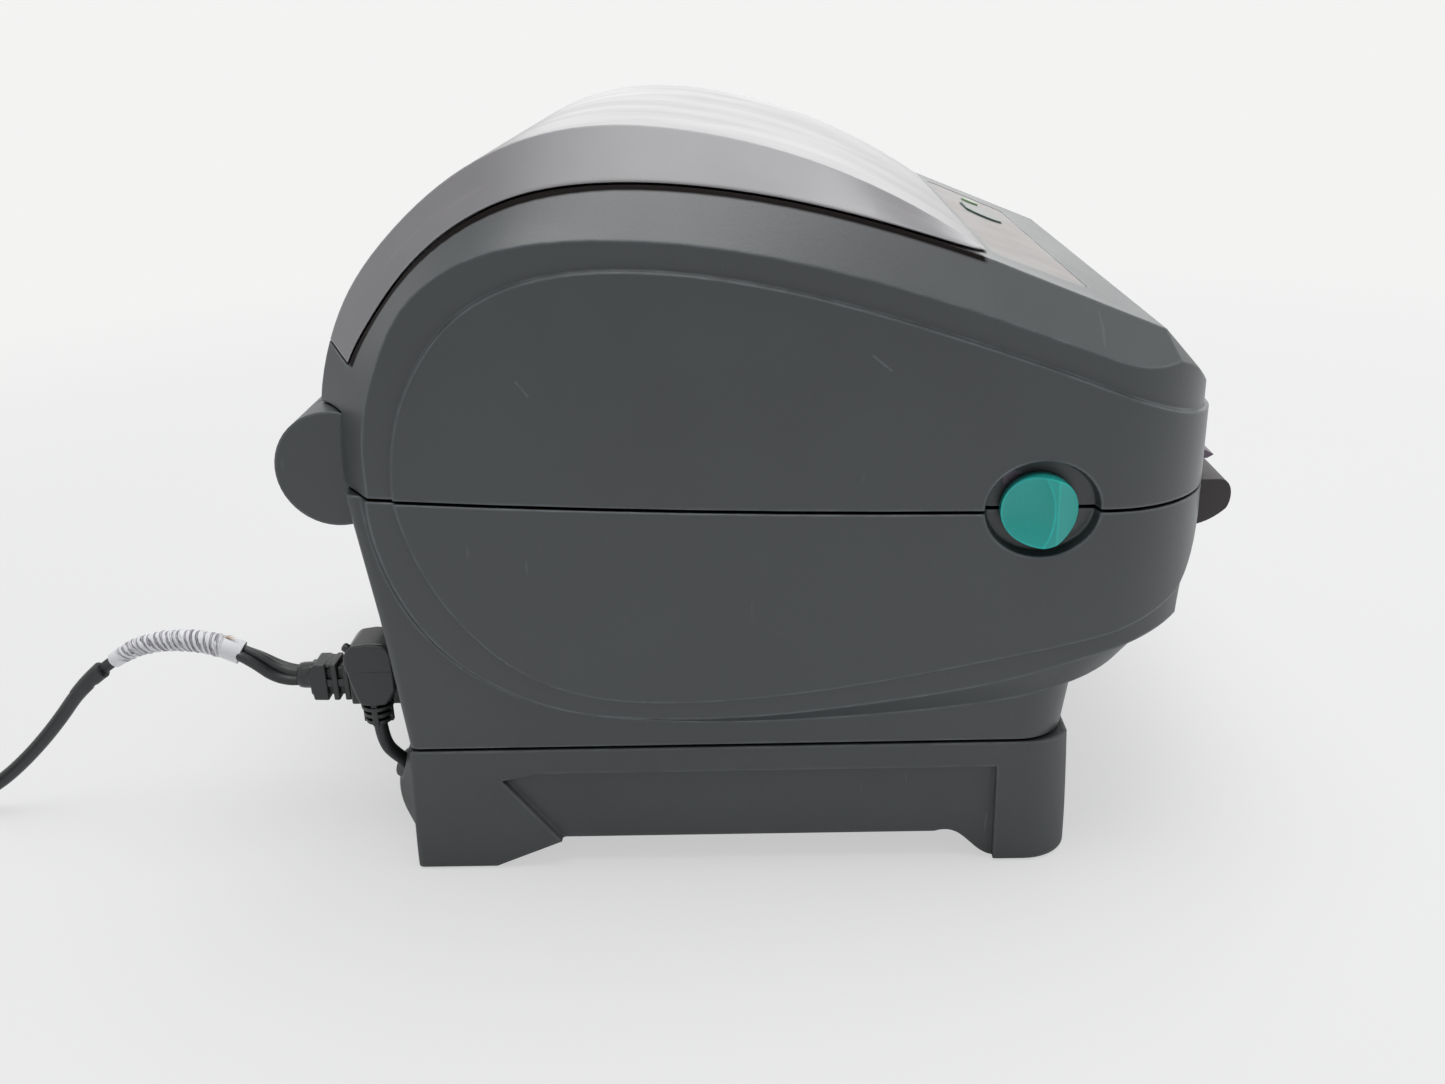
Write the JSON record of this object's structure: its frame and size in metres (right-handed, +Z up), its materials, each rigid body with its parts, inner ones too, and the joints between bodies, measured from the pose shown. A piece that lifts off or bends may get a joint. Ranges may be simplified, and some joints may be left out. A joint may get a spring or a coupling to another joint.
{
  "type": "receipt printer",
  "caption": "Desktop thermal label and receipt printer on a power-supply base, with a hinged lid, roll holders, platen drive, side latches, feed button and cables.",
  "frame": {"origin": "on the table under the middle of the printer, with its cords left out", "axes": "+Z up, the front with the paper slot faces -Y, +X is the printer's right side seen from behind"},
  "size_m": [0.1815, 0.367, 0.1653],
  "materials": {
    "case": "fine-textured dark slate",
    "window": "smoky, slightly glossy",
    "base": "fine-textured dark slate",
    "panel": "satin grey-brown overlay",
    "teal": "teal moulding",
    "steel": "plain steel",
    "aluminium": "satin aluminium",
    "platen_rubber": "ground rubber",
    "nylon": "natural nylon",
    "board": "circuit board",
    "ceramic": "glazed ceramic strip",
    "socket": "black connector moulding",
    "switch": "black rocker",
    "lamp": "translucent lens",
    "feet": "soft black rubber",
    "cable": "black flexible cable jacket",
    "paper_wrap": "white wrap with grey stripes"
  },
  "bodies": {
    "base": {"lower_case": "case", "power_base": "base", "base_plate": "base", "power_supply": "aluminium", "base_screws": "steel", "rubber_feet": "feet", "mains_inlet": "socket", "cable_gland": "cable", "media_frame": "case", "front_bezel": "case", "idler_stud": "steel", "motor": "aluminium", "platen_bearings": "nylon", "main_board": "board", "data_port": "socket", "power_jack": "socket", "serial_port": "socket", "parallel_port": "socket", "switch_frame": "socket", "paper_sensor": "socket", "latch_springs": "steel", "case_screws": "steel", "hinge_pins": "steel", "dc_plug": "cable", "dc_lead": "cable", "data_plug": "cable", "data_cord_fold": "cable", "cord_wrap": "paper_wrap", "data_cord": "cable", "data_cord_coil": "cable", "data_far_plug": "cable"},
    "lid": {"upper_case": "case", "window_cover": "window", "control_panel": "panel", "status_light": "lamp", "panel_board": "board", "tear_bar": "steel", "head_carrier": "steel", "head_pivots": "steel", "latch_keepers": "steel", "head_springs": "steel"},
    "print_head": {"thermal_head": "ceramic", "heat_sink": "aluminium", "head_bracket": "steel"},
    "feed_button": {"feed_button": "teal"},
    "platen": {"platen_shaft": "steel", "platen_roller": "platen_rubber", "platen_gear": "nylon"},
    "idler": {"idler_gear": "nylon"},
    "motor_rotor": {"motor_pinion": "nylon"},
    "left_holder": {"holder_left": "teal", "rack_left": "nylon"},
    "right_holder": {"holder_right": "teal", "rack_right": "nylon"},
    "holder_pinion": {"holder_pinion": "nylon"},
    "left_hub": {"hub_left": "nylon"},
    "right_hub": {"hub_right": "nylon"},
    "left_latch": {"latch_left": "teal"},
    "right_latch": {"latch_right": "teal"},
    "power_switch": {"power_switch": "switch"}
  },
  "joints": [
    {"name": "lid_hinge", "type": "hinge", "parent": "base", "child": "lid", "pos_m": [0, 0.09225, 0.09725], "axis": [-1, 0, 0], "range_deg": [0, 100]},
    {"name": "feed_button_press", "type": "slide", "parent": "lid", "child": "feed_button", "axis": [0, 0.3861, -0.9225], "range_m": [0, 0.001], "stiffness_N_per_m": 800, "springref_m": -0.0003},
    {"name": "head_pivot", "type": "hinge", "parent": "lid", "child": "print_head", "pos_m": [0, -0.05, 0.098], "axis": [-1, 0, 0], "range_deg": [0, 3], "stiffness_Nm_per_rad": 1.5, "springref_deg": -14.32, "deforming": ["head_springs"]},
    {"name": "platen_spin", "type": "hinge", "parent": "base", "child": "platen", "pos_m": [0, -0.08, 0.0805], "axis": [1, 0, 0], "continuous": true},
    {"name": "idler_spin", "type": "hinge", "parent": "base", "child": "idler", "pos_m": [0.0655, -0.06478, 0.07293], "axis": [1, 0, 0], "continuous": true},
    {"name": "motor_spin", "type": "hinge", "parent": "base", "child": "motor_rotor", "pos_m": [0.0655, -0.054, 0.0625], "axis": [1, 0, 0], "continuous": true},
    {"name": "left_holder_slide", "type": "slide", "parent": "base", "child": "left_holder", "axis": [-1, 0, 0], "range_m": [0, 0.026]},
    {"name": "right_holder_slide", "type": "slide", "parent": "base", "child": "right_holder", "axis": [1, 0, 0], "range_m": [0, 0.026]},
    {"name": "holder_pinion_spin", "type": "hinge", "parent": "base", "child": "holder_pinion", "pos_m": [0, 0.022, 0.0331], "axis": [0, 0, 1], "range_deg": [0, 250]},
    {"name": "left_hub_spin", "type": "hinge", "parent": "left_holder", "child": "left_hub", "pos_m": [-0.025, 0.022, 0.102], "axis": [1, 0, 0], "continuous": true},
    {"name": "right_hub_spin", "type": "hinge", "parent": "right_holder", "child": "right_hub", "pos_m": [0.025, 0.022, 0.102], "axis": [1, 0, 0], "continuous": true},
    {"name": "left_latch_slide", "type": "slide", "parent": "base", "child": "left_latch", "axis": [0, -1, 0], "range_m": [0, 0.004], "stiffness_N_per_m": 400, "springref_m": -0.002},
    {"name": "right_latch_slide", "type": "slide", "parent": "base", "child": "right_latch", "axis": [0, -1, 0], "range_m": [0, 0.004], "stiffness_N_per_m": 400, "springref_m": -0.002},
    {"name": "power_switch_rock", "type": "hinge", "parent": "base", "child": "power_switch", "pos_m": [0.0685, 0.08, 0.062], "axis": [-1, 0, 0], "range_deg": [0, 14]}
  ],
  "couplings": [
    {"joint": "idler_spin", "follows": "platen_spin", "ratio": -0.88889},
    {"joint": "motor_spin", "follows": "platen_spin", "ratio": 1.3333},
    {"joint": "right_holder_slide", "follows": "left_holder_slide", "ratio": 1},
    {"joint": "holder_pinion_spin", "follows": "left_holder_slide", "rad_per_m": 166.67}
  ]
}
